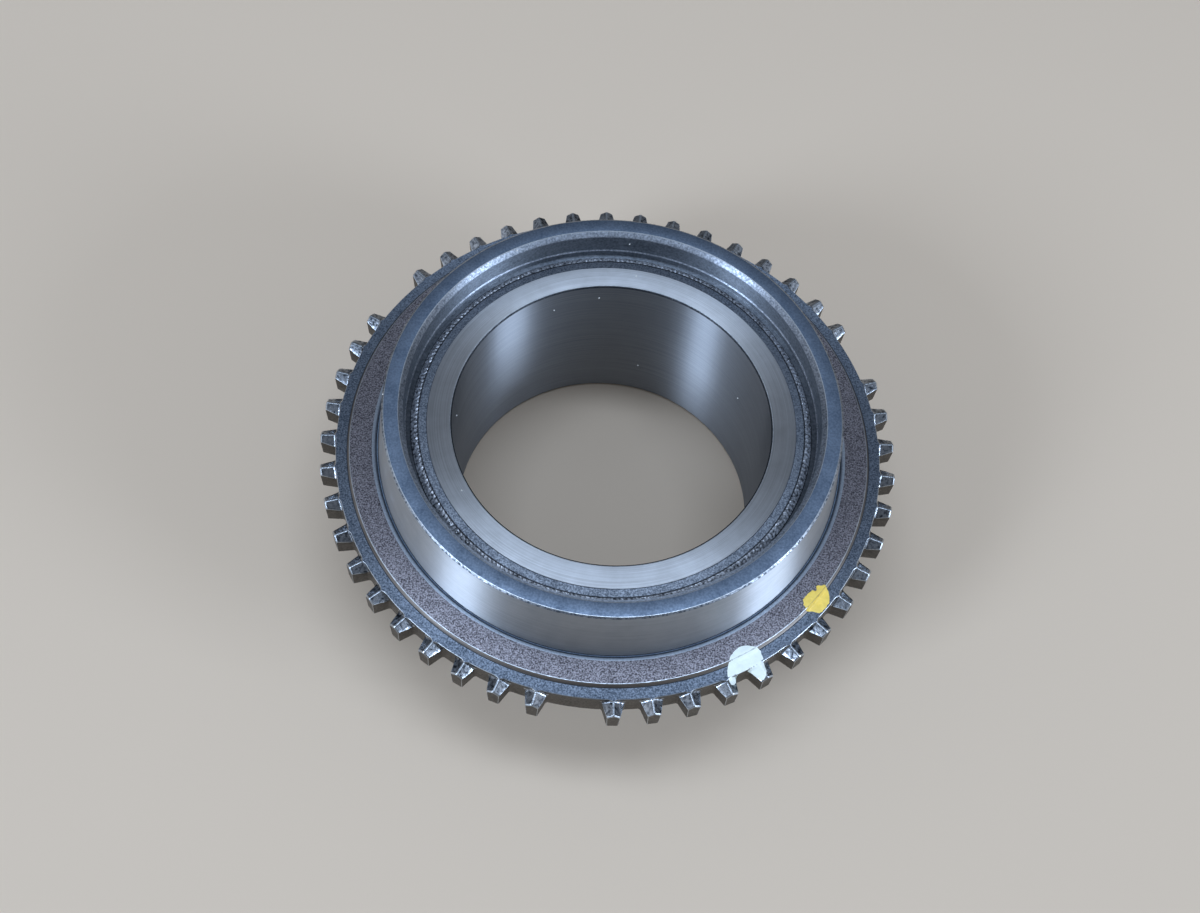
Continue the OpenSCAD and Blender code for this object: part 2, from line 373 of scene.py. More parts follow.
def ring_profile(s):
    """Turned profile of the clutch ring, from the foot of its step over the cone to its back."""
    land, raised, top = s.rim_land_z, s.raised_land_z, s.cone_top_z
    e = s.edge
    rim, worn = F["hardened_rim"], F["worn_edge"]
    cone, pocket, relief = F["ground_cone"], F["dark_pocket"], F["dark_relief"]
    chamfer = F["rim_chamfer"]
    wall, floor = 40.35, OUTER_TOE[1] * MM  # The pocket's, the wall as a radius in mm
    # Radius in mm, height, width of the broken edge, finish after the corner, finish of the edge
    table = [
        (53.3, land, 0, F["turned_land"], rim),
        # Painted shade on the broken edge at the step's foot
        (52.23, land, e, F["turned_step"], relief),
        (STEP_TOP, raised, e, F["blasted_land"], worn),
        (47.3, raised, 0, F["turned_lip"], worn),
        (46.73, raised - 0.08 * MM, e, F["turned_lip"], F["turned_lip"]),
        # Painted shade on the two bottom edges of the groove at the cone's foot
        (46.48, raised - 0.5 * MM, e, rim, relief),
        (46.04, raised - 0.5 * MM, e, cone, relief),
        (44.39, top - 0.3 * MM, 0.5 * e, F["chipped_edge"], F["chipped_edge"]),
        (44.05, top, 0.7 * e, rim, worn),
        (41.2, top, e, chamfer, worn),
        (wall, top - 0.85 * MM, 2 * e, pocket, chamfer),
        (wall, 39.1 * MM, 0.5 * e, chamfer, pocket),
        # Painted shade in the undercut below the pocket's lip
        (40.1, 38.8 * MM, 0.5 * e, relief, chamfer),
        (wall, 38.6 * MM, 0.5 * e, pocket, relief),
        (wall, floor, 2 * e, pocket, pocket),
        (OUTER_TOE[0], floor, e, pocket, pocket),
        (38.62, WELD_ROOT[1] * MM, e, rim, rim),
        (38.62, s.flange_z, 3 * e, rim, rim),
        (46.0, s.flange_z, 0, rim, rim),
    ]
    return turned_rows([(r * MM, *rest) for r, *rest in table])


def ring_cell(s, toothed):
    """One place of the clutch ring along +X, with or without a tooth."""
    shell = Shell()
    half_angle = math.pi / s.places
    e = s.edge
    land_edge_z, back_edge_z = s.rim_land_z - e, s.flange_z + e
    root = root_row(s, 1, land_edge_z)
    levels = [land_edge_z, *(root[i].z for i in range(EAVE, BACK + 1)), back_edge_z]
    stations = 3
    sides = [j / stations for j in range(1, stations + 1)]
    if toothed:
        add_tooth(shell, s, land_edge_z)
        tops, backs = root[: EAVE + 1], root[BACK:][::-1]
    else:
        start = math.atan2(root[EAVE].y, root[EAVE].x)
        flat = [polar(s.flange_r, start * i / EAVE, 0) for i in range(EAVE + 1)]
        tops = backs = flat

    def angles_of(points):
        right = [math.atan2(p.y, p.x) for p in points]
        right += [right[-1] + (half_angle - right[-1]) * side for side in sides]
        return [-a for a in reversed(right[1:])] + right

    top_angles, back_angles = angles_of(tops), angles_of(backs)
    reach = [math.hypot(p.x, p.y) for p in tops] + [s.flange_r] * stations
    reach = list(reversed(reach[1:])) + reach
    edge_row = [polar(r, a, land_edge_z) for r, a in zip(reach, top_angles)]
    land_row = [polar(r - e, a, s.rim_land_z) for r, a in zip(reach, top_angles)]
    shell.band(edge_row, land_row, F["worn_edge"])
    low_row = [polar(s.flange_r, a, back_edge_z) for a in back_angles]
    foot_row = [polar(s.flange_r - e, a, s.flange_z) for a in back_angles]

    rim, side_face = F["hardened_rim"], F["tooth_flank"]
    if toothed:
        full_top, full_back = (
            [Vector((p.x, -p.y, p.z)) for p in reversed(half[1:])] + half for half in (tops, backs)
        )
        shell.band(full_top, edge_row[stations:-stations], side_face)
        shell.band(low_row[stations:-stations], full_back, side_face)
        starts = [root[EAVE], *root[EAVE : BACK + 1], root[BACK]]
    else:
        starts = [flat[-1]] * len(levels)
        for upper, lower in zip(levels, levels[1:]):
            shell.band(
                [polar(s.flange_r, a, lower) for a in top_angles[stations:-stations]],
                [polar(s.flange_r, a, upper) for a in top_angles[stations:-stations]],
                side_face,
            )
    for side in (1, -1):
        rows = []
        for start, level in zip(starts, levels):
            first = math.atan2(start.y, start.x)
            fan = [first + (half_angle - first) * t for t in (0, *sides)]
            rows.append([polar(s.flange_r, side * a, level) for a in fan])
        for upper, lower in zip(rows, rows[1:]):
            shell.band(lower, upper, side_face)

    rows, bands = ring_profile(s)
    previous, finish = land_row, F["turned_land"]
    for (r, z), after in zip(rows, bands):
        row = [polar(r, a, z) for a in top_angles]
        shell.band(previous, row, finish)
        previous, finish = row, after
    shell.band(previous, foot_row, rim)
    shell.band(foot_row, low_row, F["worn_edge"])
    return shell.build("ring_cell_toothed" if toothed else "ring_cell_plain")


def involute(r, base_r):
    a = math.acos(min(1.0, base_r / r))
    return math.tan(a) - a


def hub_cell(s):
    """One running tooth of the gear along +X, with its share of the hub down to the bore."""
    shell = Shell()
    pitch_r = s.teeth * s.module / math.cos(s.helix) / 2
    pressure = math.atan(math.tan(s.pressure) / math.cos(s.helix))
    base_r = pitch_r * math.cos(pressure)
    tip_r, root_r = pitch_r + s.module, pitch_r - 1.25 * s.module
    half_pitch = math.pi / s.teeth
    backlash, tip_edge = 0.04 * MM, 0.1 * MM

    def half_tooth(r):
        return half_pitch / 2 + involute(pitch_r, base_r) - involute(r, base_r) - backlash / pitch_r

    flank_r = [tip_r - tip_edge - (tip_r - root_r - 0.6 * MM) * k / 7 for k in range(8)]
    right = [(tip_r, 0.0), (tip_r, half_tooth(tip_r) - tip_edge / tip_r)]
    right += [(r, half_tooth(r)) for r in flank_r]
    start = right[-1][1]
    right += [
        (root_r + 0.2 * MM, start + 0.12 * (half_pitch - start)),
        (root_r + 0.03 * MM, start + 0.4 * (half_pitch - start)),
        (root_r, half_pitch),
    ]
    outline = [(r, -a) for r, a in reversed(right[1:])] + right

    chamfer = 0.8 * MM
    gear_h = s.gear_high - s.gear_low
    twist = gear_h * math.tan(s.helix) / pitch_r
    slices = 12
    heights = [0, 0.35 * chamfer, chamfer]
    heights += [chamfer + (gear_h - 2 * chamfer) * k / slices for k in range(1, slices)]
    heights += [gear_h - chamfer, gear_h - 0.35 * chamfer, gear_h]

    def slice_row(h):
        most = tip_r - max(0.0, chamfer - h, chamfer - (gear_h - h))
        turn = -twist * h / gear_h
        return [polar(min(r, most), a + turn, s.gear_low + h) for r, a in outline]

    rows = [slice_row(h) for h in heights]
    hobbed = F["hobbed_steel"]
    for low, high in zip(rows, rows[1:]):
        shell.band(low, high, hobbed)

    ground, face, band = F["ground_bore"], F["ground_thrust_face"], F["unground_band"]
    worn = F["worn_edge"]
    bore, seat, top = s.bore_r, s.seat_r, s.hub_length
    neck = root_r - 0.1 * MM
    flange_z = RING_LOW.z
    front_r, back_r = bore + s.front_face_w, bore + s.back_face_w
    e = 0.08 * MM
    # Radius, height, width of the broken edge, finish after the corner, finish of the edge
    upper = [
        (neck, s.gear_high, 0, hobbed, hobbed),
        (neck, flange_z, 0, hobbed, hobbed),
        (seat, flange_z, 0, hobbed, hobbed),
        (seat, WELD_ROOT[1] * MM, 0, band, band),
        (INNER_TOE[0] * MM, INNER_TOE[1] * MM, e, band, band),
        (front_r, top - 0.15 * MM, 0.5 * e, band, band),
        (front_r - 0.12 * MM, top, e, face, face),
        # Painted shade on the bore's front chamfer and its lower edge
        (bore + 0.3 * MM, top, e, F["dark_relief"], worn),
        (bore, top - 0.3 * MM, e, ground, F["dark_relief"]),
        (bore, 0.6 * MM, e, worn, ground),
        (bore + 0.6 * MM, 0, e, face, worn),
        (bore + 1.4 * MM, 0, 0, face, face),
    ]
    lower = [
        (back_r, 0, 0, hobbed, hobbed),
        (root_r - 0.4 * MM, s.gear_low, 0, hobbed, hobbed),
    ]
    top_angles = [a - twist for r, a in outline]
    low_angles = [a for r, a in outline]
    previous, finish = rows[-1], hobbed
    for corners, angles in ((upper, top_angles), (lower, low_angles)):
        for (r, z), after in zip(*turned_rows(corners)):
            row = [polar(r, a, z) for a in angles]
            shell.band(previous, row, finish)
            previous, finish = row, after
    shell.band(previous, rows[0], hobbed)
    return shell.build("hub_cell")


# Geometry nodes


def add_node(tree, kind, links=None, **settings):
    """Adds a node with its settings; links gives each input a value or another node's output."""
    node = tree.nodes.new(kind)
    for name, value in settings.items():
        setattr(node, name, value)
    for key, source in (links or {}).items():
        if isinstance(source, bpy.types.NodeSocket):
            tree.links.new(source, node.inputs[key])
        else:
            node.inputs[key].default_value = source
    return node


def maths(tree, operation, *values):
    """Result of a maths node on numbers or other nodes' outputs."""
    return add_node(tree, "ShaderNodeMath", dict(enumerate(values)), operation=operation).outputs[0]


def cells_round_axis(finishes):
    """Tree that sets equal cells round the Z axis, joins them and gives each face the steel of its finish."""
    tree = bpy.data.node_groups.new("Cells round axis", "GeometryNodeTree")
    sockets = tree.interface
    for name, kind in (
        ("Places", "NodeSocketInt"),
        ("Plain every", "NodeSocketInt"),
        ("First angle", "NodeSocketFloat"),
        ("Toothed cell", "NodeSocketObject"),
        ("Plain cell", "NodeSocketObject"),
        ("Join distance", "NodeSocketFloat"),
    ):
        sockets.new_socket(name, in_out="INPUT", socket_type=kind)
    sockets.new_socket("Geometry", in_out="OUTPUT", socket_type="NodeSocketGeometry")
    given = add_node(tree, "NodeGroupInput").outputs
    points = add_node(tree, "GeometryNodePoints", {"Count": given["Places"]}).outputs[0]
    index = add_node(tree, "GeometryNodeInputIndex").outputs[0]
    step = maths(tree, "DIVIDE", math.tau, given["Places"])
    turn = maths(tree, "MULTIPLY_ADD", index, step, given["First angle"])
    rotation = add_node(tree, "ShaderNodeCombineXYZ", {"Z": turn}).outputs[0]
    rest = maths(tree, "MODULO", index, given["Plain every"])
    is_plain = add_node(tree, "FunctionNodeCompare", {0: rest, 1: 0.5}, operation="LESS_THAN").outputs[0]
    is_toothed = add_node(tree, "FunctionNodeBooleanMath", {0: is_plain}, operation="NOT").outputs[0]
    joined = add_node(tree, "GeometryNodeJoinGeometry")
    for cell, chosen in (("Toothed cell", is_toothed), ("Plain cell", is_plain)):
        shape = add_node(tree, "GeometryNodeObjectInfo", {"Object": given[cell]}).outputs["Geometry"]
        placed = add_node(
            tree,
            "GeometryNodeInstanceOnPoints",
            {"Points": points, "Selection": chosen, "Instance": shape, "Rotation": rotation},
        )
        tree.links.new(placed.outputs[0], joined.inputs[0])
    whole = add_node(tree, "GeometryNodeRealizeInstances", {0: joined.outputs[0]}).outputs[0]
    whole = add_node(
        tree, "GeometryNodeMergeByDistance", {"Geometry": whole, "Distance": given["Join distance"]}
    ).outputs[0]
    finish = add_node(
        tree, "GeometryNodeInputNamedAttribute", {"Name": "finish"}, data_type="INT"
    ).outputs["Attribute"]
    for name in finishes:
        same = add_node(
            tree, "FunctionNodeCompare", {2: finish, 3: F[name]}, data_type="INT", operation="EQUAL"
        )
        whole = add_node(
            tree,
            "GeometryNodeSetMaterial",
            {"Geometry": whole, "Selection": same.outputs[0], "Material": steel(name)},
        ).outputs[0]
    add_node(tree, "NodeGroupOutput", {0: whole})
    return tree


def set_round_axis(name, places, plain_every, first_angle, toothed, plain, finishes):
    """A plain mesh object of cells set round the axis."""
    scene = bpy.context.scene
    cells = [bpy.data.objects.new(mesh.name, mesh) for mesh in (toothed, plain)]
    holder = bpy.data.objects.new(name + "_holder", bpy.data.meshes.new(name + "_holder"))
    for part in (*cells, holder):
        scene.collection.objects.link(part)
    tree = cells_round_axis(finishes)
    modifier = holder.modifiers.new("Cells round axis", "NODES")
    modifier.node_group = tree
    values = {
        "Places": places,
        "Plain every": plain_every,
        "First angle": first_angle,
        "Toothed cell": cells[0],
        "Plain cell": cells[1],
        "Join distance": 0.002 * MM,
    }
    for item in tree.interface.items_tree:
        if item.in_out == "INPUT":
            modifier[item.identifier] = values[item.name]
    seen = holder.evaluated_get(bpy.context.evaluated_depsgraph_get())
    mesh = bpy.data.meshes.new_from_object(seen)
    holder.modifiers.remove(modifier)
    for part in (*cells, holder):
        bpy.data.objects.remove(part)
    return finish_piece(name, mesh, sharp_degrees=16)


def finish_piece(name, mesh, sharp_degrees):
    """Links a mesh as a piece, with its faces turned outwards and its sharp edges kept."""
    work = bmesh.new()
    work.from_mesh(mesh)
    bmesh.ops.recalc_face_normals(work, faces=work.faces)
    work.to_mesh(mesh)
    work.free()
    mesh.name = name
    mesh.shade_smooth()
    mesh.set_sharp_from_angle(angle=math.radians(sharp_degrees))
    if not mesh.polygons:
        raise RuntimeError(f"{name} has no faces")
    piece = bpy.data.objects.new(name, mesh)
    bpy.context.scene.collection.objects.link(piece)
    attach(piece, "root")
    return piece


# Materials

# Each steel: dark and light colour, roughness from and to, share of wide patches in its colour,
# grain as (size, depth) and tool marks round the axis as (spacing, depth), all in mm, how soft the
# colours run into each other, the stretch of the highlight across the marks, and the share of bare
# metal where an oxide skin covers it.
# Blasting grain is finer on the real gear; it is drawn as coarse as it needs to show.
STEELS = {
    # Ground bore: satin, with fine marks round it that pull the highlight up and down into bands
    "ground_bore": dict(
        dark="#8C9096", light="#9EA2A8", rough=(0.46, 0.51), patch=0.15, marks=(0.12, 0.0004), stretch=1.0
    ),
    # Ground thrust face: fine turned marks, light grey
    "ground_thrust_face": dict(
        dark="#A8AAAD", light="#C6CACF", rough=(0.42, 0.48), patch=0.4, marks=(0.14, 0.0008), stretch=0.85
    ),
    # Skin left from before grinding: dark, matt and grainy
    "unground_band": dict(
        dark="#535A64", light="#8A919B", rough=(0.45, 0.6), patch=0.2, grain=(0.3, 0.015), soft=0.15
    ),
    # Hobbed and hardened teeth with a thin film of oil
    "hobbed_steel": dict(dark="#63686F", light="#898E95", rough=(0.32, 0.48), patch=0.5, grain=(0.5, 0.006)),
    # Hardened rim: mottled blue-grey with a fine matt grain
    "hardened_rim": dict(
        dark="#505D6E", light="#768496", rough=(0.42, 0.52), patch=0.5, grain=(0.4, 0.008)
    ),
    # Land at the rim: the same skin, speckled, with the drawn-out highlight of a turned face
    "turned_land": dict(
        dark="#48525F", light="#8A95A4", rough=(0.46, 0.56), patch=0.15,
        grain=(0.32, 0.02), soft=0.16, stretch=0.75
    ),
    # Raised land, blasted after turning: brownish grey, speckled light and dark
    "blasted_land": dict(
        dark="#464348", light="#A09DA4", rough=(0.46, 0.54), patch=0.1,
        grain=(0.29, 0.03), soft=0.14, stretch=0.65
    ),
    # Step between the lands, left from turning: warm grey
    "turned_step": dict(
        dark="#6A645F", light="#A39B94", rough=(0.34, 0.46), patch=0.3, marks=(0.2, 0.002), stretch=0.3
    ),
    # Inner edge of the raised land, turned bright
    "turned_lip": dict(
        dark="#96A0AC", light="#B8C2CE", rough=(0.38, 0.5), patch=0.4, grain=(0.4, 0.006), stretch=0.6
    ),
    # Grooves, weld toes, the step's foot, the undercut below the pocket's lip and the bore's front chamfer:
    # painted shade, dark since little light gets in
    "dark_relief": dict(dark="#303338", light="#484B50", rough=(0.45, 0.6), patch=0.3, grain=(0.5, 0.008)),
    # Ground friction cone: bright, with marks round it and faint clouds
    "ground_cone": dict(
        dark="#A4A7AB", light="#B8BBBF", rough=(0.43, 0.49), patch=0.4, marks=(0.1, 0.0005), stretch=1.0
    ),
    # Broken edge at the cone's top: dark skin, chipped bright
    "chipped_edge": dict(
        dark="#4A515B", light="#A8AEB6", rough=(0.34, 0.5), patch=0.3, grain=(0.5, 0.02), soft=0.12
    ),
    # Pocket inside the cone: turned wall, dulled by weld smoke
    "dark_pocket": dict(
        dark="#626A74", light="#8E96A0", rough=(0.46, 0.54), patch=0.4, grain=(0.5, 0.006), stretch=0.9
    ),
    # Edges rubbed bright in handling
    "worn_edge": dict(dark="#8D9399", light="#D0D6DC", rough=(0.28, 0.42), patch=0.5, grain=(0.6, 0.008)),
    # Roofs of the clutch teeth: dark skin, rubbed shiny in spots
    "tooth_roof": dict(
        dark="#2E3238", light="#B4BAC2", rough=(0.22, 0.4), patch=0.4, grain=(0.6, 0.03), soft=0.13
    ),
    # Flanks and ends of the clutch teeth: plain warm grey, matt
    "tooth_flank": dict(dark="#4A4845", light="#67635F", rough=(0.42, 0.56), patch=0.4, grain=(0.4, 0.008)),
    # Turned chamfer inside the cone's rim, and the lip in the pocket: light, a little mottled
    "rim_chamfer": dict(
        dark="#808894", light="#C4CCD8", rough=(0.44, 0.5), patch=0.2,
        grain=(0.4, 0.006), soft=0.15, stretch=0.95
    ),
    # Beam weld: dark grey with light flecks, under a thin oxide
    "beam_weld": dict(
        dark="#3C3F45", light="#CCD1DA", rough=(0.36, 0.55), patch=0.2,
        grain=(0.5, 0.03), soft=0.14, bare=0.6
    ),
}


def new_material(name):
    """A new material with its node tree and its shader."""
    material = bpy.data.materials.new(name)
    material.use_nodes = True
    return material, material.node_tree, material.node_tree.nodes["Principled BSDF"]


def clouds(tree, place, size, detail=2.0, roughness=0.5):
    """Noise on coordinates, with spots of a size in the same unit."""
    values = {"Vector": place, "Scale": 1 / size, "Detail": detail, "Roughness": roughness}
    return add_node(tree, "ShaderNodeTexNoise", values).outputs["Fac"]


def from_axis(tree, place):
    """Coordinates without their height, and their distance from the axis."""
    flat = add_node(tree, "ShaderNodeVectorMath", {0: place, 1: (1, 1, 0)}, operation="MULTIPLY").outputs[0]
    return flat, add_node(tree, "ShaderNodeVectorMath", {0: flat}, operation="LENGTH").outputs["Value"]


def steel(name):
    """Metal of one finish, with patches, grain and tool marks on the object's own coordinates."""
    if name in bpy.data.materials:
        return bpy.data.materials[name]
    look = STEELS[name]
    material, tree, shader = new_material(name)
    shader.inputs["Metallic"].default_value = look.get("bare", 1.0)
    patch_size, mark_length = 5 * MM, 25 * MM
    place = add_node(tree, "ShaderNodeTexCoord").outputs["Object"]
    patches = clouds(tree, place, patch_size, detail=4.0, roughness=0.65)
    if "marks" in look:
        spacing, depth = look["marks"]
        flat, radius = from_axis(tree, place)
        height = add_node(tree, "ShaderNodeSeparateXYZ", {0: place}).outputs["Z"]
        fine = maths(tree, "MULTIPLY", maths(tree, "ADD", radius, height), 1 / (spacing * MM))
        lift = add_node(tree, "ShaderNodeCombineXYZ", {"Z": fine}).outputs[0]
        round_it = add_node(
            tree, "ShaderNodeVectorMath", {0: flat, "Scale": 1 / mark_length}, operation="SCALE"
        ).outputs[0]
        along = add_node(tree, "ShaderNodeVectorMath", {0: round_it, 1: lift}, operation="ADD").outputs[0]
        detail = clouds(tree, along, 1.0)
    else:
        size, depth = look["grain"]
        detail = clouds(tree, place, size * MM)
    normal = add_node(tree, "ShaderNodeBump", {"Height": detail, "Distance": depth * MM}).outputs[0]
    tree.links.new(normal, shader.inputs["Normal"])
    mixed = add_node(tree, "ShaderNodeMix", {0: look["patch"], 2: detail, 3: patches}).outputs[0]
    soft = look.get("soft", 0.17)
    spread = {"Value": mixed, "From Min": 0.5 - soft, "From Max": 0.5 + soft}
    share = add_node(tree, "ShaderNodeMapRange", spread).outputs[0]
    tones = {0: share, 6: linear(look["dark"]), 7: linear(look["light"])}
    tint = add_node(tree, "ShaderNodeMix", tones, data_type="RGBA").outputs[2]
    tree.links.new(tint, shader.inputs["Base Color"])
    smooth, dull = look["rough"]
    rough = add_node(tree, "ShaderNodeMapRange", {**spread, "To Min": dull, "To Max": smooth}).outputs[0]
    tree.links.new(rough, shader.inputs["Roughness"])
    if "stretch" in look:
        shader.inputs["Anisotropic"].default_value = look["stretch"]
        shader.inputs["Anisotropic Rotation"].default_value = 0.25
        tangent = add_node(tree, "ShaderNodeTangent", direction_type="RADIAL", axis="Z").outputs[0]
        tree.links.new(tangent, shader.inputs["Tangent"])
    return material


def paint(name, tone, shade):
    """Brushed paint, or lint: a fine film with a slight sheen and patches, and painted shade along the step's
    upper edge; shade is the tone of the patches.
    """
    material, tree, shader = new_material(name)
    shader.inputs["Roughness"].default_value = 0.42
    place = add_node(tree, "ShaderNodeTexCoord").outputs["Object"]
    cloud = clouds(tree, place, 1.4 * MM, detail=4.0)
    share = add_node(
        tree, "ShaderNodeMapRange", {"Value": cloud, "From Min": 0.35, "From Max": 0.7}
    ).outputs[0]
    deep = (*(c * shade for c in tone), 1)
    tint = add_node(tree, "ShaderNodeMix", {0: share, 6: (*tone, 1), 7: deep}, data_type="RGBA").outputs[2]
    # Painted shade along the step's upper edge: a ragged line where the paint darkens to a third of its tone
    radius = from_axis(tree, place)[1]
    away = maths(tree, "ABSOLUTE", maths(tree, "SUBTRACT", radius, STEP_TOP * MM))
    ragged_away = maths(tree, "MULTIPLY_ADD", cloud, 0.5 * MM, away)
    step_shade = add_node(
        tree,
        "ShaderNodeMapRange",
        {"Value": ragged_away, "From Min": 0.24 * MM, "From Max": 0.42 * MM, "To Min": 0.8, "To Max": 0.0},
    ).outputs[0]
    # Colour of the painted shade: the paint's tone at a third
    bare = (*(c * 0.3 for c in tone), 1)
    tint = add_node(tree, "ShaderNodeMix", {0: step_shade, 6: tint, 7: bare}, data_type="RGBA").outputs[2]
    tree.links.new(tint, shader.inputs["Base Color"])
    bump = add_node(tree, "ShaderNodeBump", {"Height": cloud, "Distance": 0.12 * MM}).outputs[0]
    tree.links.new(bump, shader.inputs["Normal"])
    return material


# Operators


class SPEEDGEAR_OT_hub(bpy.types.Operator):
    """Builds the gear with its bore, thrust faces and helical running teeth"""

    bl_idname = "speedgear.hub"
    bl_label = "Gear body"

    def execute(self, context):
        s = context.scene.speedgear_hub
        cell = hub_cell(s)
        finishes = [*HUB_FINISHES, "worn_edge", "dark_relief"]
        # All places are alike, so the plain cell is the same
        piece = set_round_axis("gear_body_dressed", s.teeth, s.teeth + 1, 0.0, cell, cell, finishes)
        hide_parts("gear_body")
        return {"FINISHED"}


class SPEEDGEAR_OT_clutch_ring(bpy.types.Operator):
    """Builds the clutch ring: toothed flange, lands, friction cone and pocket"""

    bl_idname = "speedgear.clutch_ring"
    bl_label = "Clutch ring"

    def execute(self, context):
        s = context.scene.speedgear_ring
        piece = set_round_axis(
            "clutch_ring_dressed",
            s.places,
            s.places // s.gaps,
            -math.pi / 2,
            ring_cell(s, True),
            ring_cell(s, False),
            RING_FINISHES,
        )
        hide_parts("clutch_ring")
        return {"FINISHED"}


def add_bead(shell, place, size, finish):
    """Adds a small closed bead."""
    rows = []
    for k in range(7):
        rise = math.pi * (k / 6 - 0.5)
        circle = [math.tau * (n % 8) / 8 for n in range(9)]
        rows.append([place + polar(size / 2 * math.cos(rise), a, size / 2 * math.sin(rise)) for a in circle])
    for low, high in zip(rows, rows[1:]):
        shell.band(low, high, finish)


class SPEEDGEAR_OT_weld(bpy.types.Operator):
    """Builds the rippled weld bead with its lumpy start and stop"""

    bl_idname = "speedgear.weld"
    bl_label = "Weld bead"

    def execute(self, context):
        s = context.scene.speedgear_weld
        shell = Shell()
        around, across = 2400, 12
        noise_r = 38  # About the bead's radius in mm
        ripple_h, rough_h = 0.11, 0.07  # In mm
        ripples = round(math.tau * (s.inner_r + s.outer_r) / 2 / s.ripple)
        # Lumps at the start and stop: place and width in degrees, height in mm
        lumps = [(223, 2.2, 0.15), (227, 1.2, -0.125), (231, 2.6, 0.17), (236, 1.4, 0.1), (240, 1.8, -0.075)]
        columns = []
        for n in range(around + 1):
            theta = math.tau * (n % around) / around
            lump = 0.0
            for at, width, height in lumps:
                lump += height * math.exp(-(((math.degrees(theta) - at) / width) ** 2))
            column = []
            for k in range(across + 1):
                t = k / across
                r = s.outer_r + (s.inner_r - s.outer_r) * t
                z = s.outer_z + (s.inner_z - s.outer_z) * t
                bow = math.sin(math.pi * t)
                spot = Vector((math.cos(theta), math.sin(theta), t)) * noise_r
                wander = noise.noise(spot * 0.5)
                phase = ripples * theta + 20 * (t - 0.5) ** 2 + 1.5 * wander
                wave = ripple_h * math.sin(phase) + rough_h * noise.noise(spot * 1.9)
                z += bow * (s.crown + (wave + lump) * MM)
                column.append(polar(r, theta, z))
            column.append(polar(WELD_ROOT[0] * MM, theta, s.root_z))
            column.append(column[0])
            columns.append(column)
        # Dark lines of painted shade along both toes, the crown between them, and the hidden root
        strips = [
            (0, 1, "dark_relief"),
            (1, across - 2, "beam_weld"),
            (across - 2, across, "dark_relief"),
            (across, across + 2, "beam_weld"),
        ]
        for a, b in zip(columns, columns[1:]):
            for first, last, finish in strips:
                shell.band(b[first : last + 1], a[first : last + 1], F[finish])
        # Bright spatter at the start and stop: place in degrees, radius and size in mm
        spatter_z = 38.35 * MM
        for at, r, size in [
            (224.1, 38.4, 0.3),
            (225.3, 38.6, 0.45),
            (228, 38.7, 0.45),
            (230.3, 38.6, 0.3),
            (232.3, 38.5, 0.6),
        ]:
            add_bead(shell, polar(r * MM, math.radians(at), spatter_z), size * MM, F["worn_edge"])
        mesh = shell.build("weld_bead_dressed")
        finishes = ["beam_weld", "worn_edge", "dark_relief"]
        for finish in finishes:
            mesh.materials.append(steel(finish))
        numbers = {F[finish]: n for n, finish in enumerate(finishes)}
        mesh.polygons.foreach_set("material_index", [numbers[f] for f in shell.finishes])
        piece = finish_piece("weld_bead_dressed", mesh, sharp_degrees=50)
        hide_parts("weld_bead")
        return {"FINISHED"}


def paint_dab(name, tree, outline, thickness, material):
    """Thin closed dab of paint on the ring; outline holds (angle in degrees, radius in mm) points."""
    shell = Shell()
    rings = 14
    over_gear = 60 * MM
    middle = sum((Vector(p) for p in outline), Vector((0, 0))) / len(outline)
    count = len(outline)

    def on_ring(p, lift):
        # Beside the rim it takes the nearest spot further in
        for inwards in range(30):
            above = polar((p.y - inwards * 0.1) * MM, math.radians(p.x), over_gear)
            hit = tree.ray_cast(above, Vector((0, 0, -1)))[0]
            if hit:
                return hit + Vector((0, 0, lift))
        raise RuntimeError(f"{name} lies beside the ring")

    rows, under = [], []
    for k in range(rings + 1):
        share = k / rings
        thick = thickness * (1 - share**6) * 0.85 + thickness * 0.15
        spots = [middle.lerp(Vector(outline[i % count]), share) for i in range(count + 1)]
        rows.append([on_ring(p, thick * (1 + 0.35 * noise.noise(Vector((p.x, p.y, 0)) * 2))) for p in spots])
        under.append([on_ring(p, -0.02 * MM) for p in spots])
    for a, b in zip(rows, rows[1:]):
        shell.band(a, b, 0)
    for a, b in zip(under, under[1:]):
        shell.band(b, a, 0)
    shell.band(rows[-1], under[-1], 0)
    mesh = shell.build(name)
    mesh.materials.append(material)
    return finish_piece(name, mesh, sharp_degrees=60)


def ragged(points, per_side, rough, seed):
    """Closed curve through points in fine steps, with a ragged edge."""
    fine = []
    count = len(points)
    for i in range(count):
        a, b, c, d = (Vector(points[(i + k) % count]) for k in (-1, 0, 1, 2))
        for k in range(per_side):
            t = k / per_side
            bend = (2 * a - 5 * b + 4 * c - d) * t**2 + (3 * b - a - 3 * c + d) * t**3
            spot = b + ((c - a) * t + bend) / 2
            where = Vector((spot.x * 1.7, spot.y * 1.7, seed))
            aside, outward = noise.noise(where), noise.noise(where + Vector((0, 0, 11)))
            fine.append((spot.x + aside * rough, spot.y + outward * rough * 0.8))
    return fine


